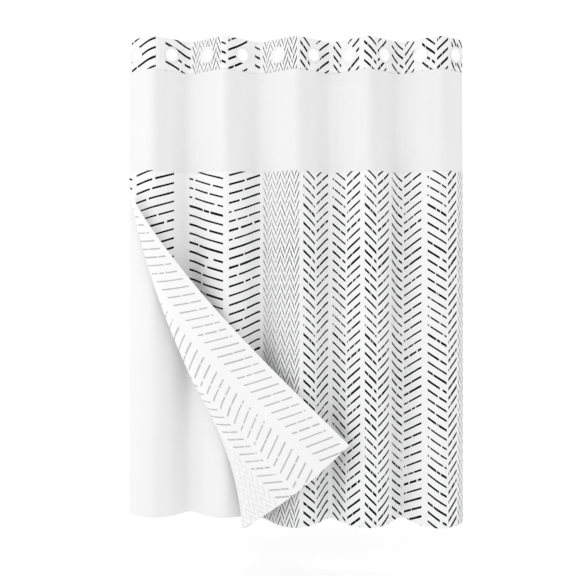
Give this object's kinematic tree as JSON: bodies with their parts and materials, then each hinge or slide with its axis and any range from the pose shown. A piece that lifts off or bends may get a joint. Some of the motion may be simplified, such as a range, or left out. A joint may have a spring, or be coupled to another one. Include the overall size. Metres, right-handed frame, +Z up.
{
  "type": "shower curtain",
  "caption": "Hookless shower curtain with built-in split rings, a plain window strip, a printed lower panel, a snap-in liner and one corner folded over to the front.",
  "frame": {"origin": "on the centre line of the rod that the rings hang on, at mid-width", "axes": "+X along the rod to the right of someone who faces the printed side, +Y away from that person to the liner side, +Z up"},
  "size_m": [1.2996, 0.1328, 1.88],
  "materials": {
    "header_cloth": "matte woven polyester, two layers, printed with broken strokes",
    "window_cloth": "sheer plain white woven polyester",
    "printed_cloth": "matte white woven polyester, printed with broken black and grey strokes",
    "ring_plastic": "satin white moulded plastic",
    "snap_plastic": "satin white moulded plastic",
    "liner_cloth": "plain white water-repellent polyester",
    "liner_band_cloth": "white woven band with moulded studs",
    "corner_cloth": "reverse of the printed cloth, the print showing pale grey"
  },
  "bodies": {
    "end_ring": {"ring_01": "ring_plastic", "liner": "liner_cloth", "liner_band": "liner_band_cloth"},
    "pleat_01": {"header_strip_01": "header_cloth", "window_strip_01": "window_cloth", "printed_strip_01": "printed_cloth", "snap_socket_01": "snap_plastic"},
    "pleat_02": {"header_strip_02": "header_cloth", "window_strip_02": "window_cloth", "printed_strip_02": "printed_cloth", "snap_socket_02": "snap_plastic", "ring_02": "ring_plastic"},
    "pleat_03": {"header_strip_03": "header_cloth", "window_strip_03": "window_cloth", "printed_strip_03": "printed_cloth", "snap_socket_03": "snap_plastic", "ring_03": "ring_plastic"},
    "pleat_04": {"header_strip_04": "header_cloth", "window_strip_04": "window_cloth", "printed_strip_04": "printed_cloth", "snap_socket_04": "snap_plastic", "ring_04": "ring_plastic"},
    "pleat_05": {"header_strip_05": "header_cloth", "window_strip_05": "window_cloth", "printed_strip_05": "printed_cloth", "snap_socket_05": "snap_plastic", "ring_05": "ring_plastic"},
    "pleat_06": {"header_strip_06": "header_cloth", "window_strip_06": "window_cloth", "printed_strip_06": "printed_cloth", "snap_socket_06": "snap_plastic", "ring_06": "ring_plastic"},
    "pleat_07": {"header_strip_07": "header_cloth", "window_strip_07": "window_cloth", "printed_strip_07": "printed_cloth", "snap_socket_07": "snap_plastic", "ring_07": "ring_plastic"},
    "pleat_08": {"header_strip_08": "header_cloth", "window_strip_08": "window_cloth", "printed_strip_08": "printed_cloth", "snap_socket_08": "snap_plastic", "ring_08": "ring_plastic"},
    "pleat_09": {"header_strip_09": "header_cloth", "window_strip_09": "window_cloth", "printed_strip_09": "printed_cloth", "snap_socket_09": "snap_plastic", "ring_09": "ring_plastic"},
    "pleat_10": {"header_strip_10": "header_cloth", "window_strip_10": "window_cloth", "printed_strip_10": "printed_cloth", "snap_socket_10": "snap_plastic", "ring_10": "ring_plastic"},
    "corner_flap": {"corner_flap": "corner_cloth"}
  },
  "joints": [
    {"name": "draw", "type": "hinge", "parent": "end_ring", "child": "pleat_01", "pos_m": [-0.621, 0, 0], "axis": [0, 0, -1], "range_deg": [0, 40], "deforming": ["liner", "liner_band", "corner_flap"]},
    {"name": "fold_02", "type": "hinge", "parent": "pleat_01", "child": "pleat_02", "pos_m": [-0.552, -0.045, 0], "axis": [0, 0, 1], "range_deg": [0, 80]},
    {"name": "fold_03", "type": "hinge", "parent": "pleat_02", "child": "pleat_03", "pos_m": [-0.414, 0.045, 0], "axis": [0, 0, -1], "range_deg": [0, 80]},
    {"name": "fold_04", "type": "hinge", "parent": "pleat_03", "child": "pleat_04", "pos_m": [-0.276, -0.045, 0], "axis": [0, 0, 1], "range_deg": [0, 80]},
    {"name": "fold_05", "type": "hinge", "parent": "pleat_04", "child": "pleat_05", "pos_m": [-0.138, 0.045, 0], "axis": [0, 0, -1], "range_deg": [0, 80]},
    {"name": "fold_06", "type": "hinge", "parent": "pleat_05", "child": "pleat_06", "pos_m": [0, -0.045, 0], "axis": [0, 0, 1], "range_deg": [0, 80]},
    {"name": "fold_07", "type": "hinge", "parent": "pleat_06", "child": "pleat_07", "pos_m": [0.138, 0.045, 0], "axis": [0, 0, -1], "range_deg": [0, 80]},
    {"name": "fold_08", "type": "hinge", "parent": "pleat_07", "child": "pleat_08", "pos_m": [0.276, -0.045, 0], "axis": [0, 0, 1], "range_deg": [0, 80]},
    {"name": "fold_09", "type": "hinge", "parent": "pleat_08", "child": "pleat_09", "pos_m": [0.414, 0.045, 0], "axis": [0, 0, -1], "range_deg": [0, 80]},
    {"name": "fold_10", "type": "hinge", "parent": "pleat_09", "child": "pleat_10", "pos_m": [0.552, -0.045, 0], "axis": [0, 0, 1], "range_deg": [0, 80]},
    {"name": "corner_fold", "type": "hinge", "parent": "end_ring", "child": "corner_flap", "pos_m": [-0.64948, -0.065, -0.526], "axis": [0.3181, 0, -0.9481], "range_deg": [0, 165]}
  ],
  "couplings": [
    {"joint": "fold_02", "follows": "draw", "ratio": 2},
    {"joint": "fold_03", "follows": "draw", "ratio": 2},
    {"joint": "fold_04", "follows": "draw", "ratio": 2},
    {"joint": "fold_05", "follows": "draw", "ratio": 2},
    {"joint": "fold_06", "follows": "draw", "ratio": 2},
    {"joint": "fold_07", "follows": "draw", "ratio": 2},
    {"joint": "fold_08", "follows": "draw", "ratio": 2},
    {"joint": "fold_09", "follows": "draw", "ratio": 2},
    {"joint": "fold_10", "follows": "draw", "ratio": 2}
  ]
}
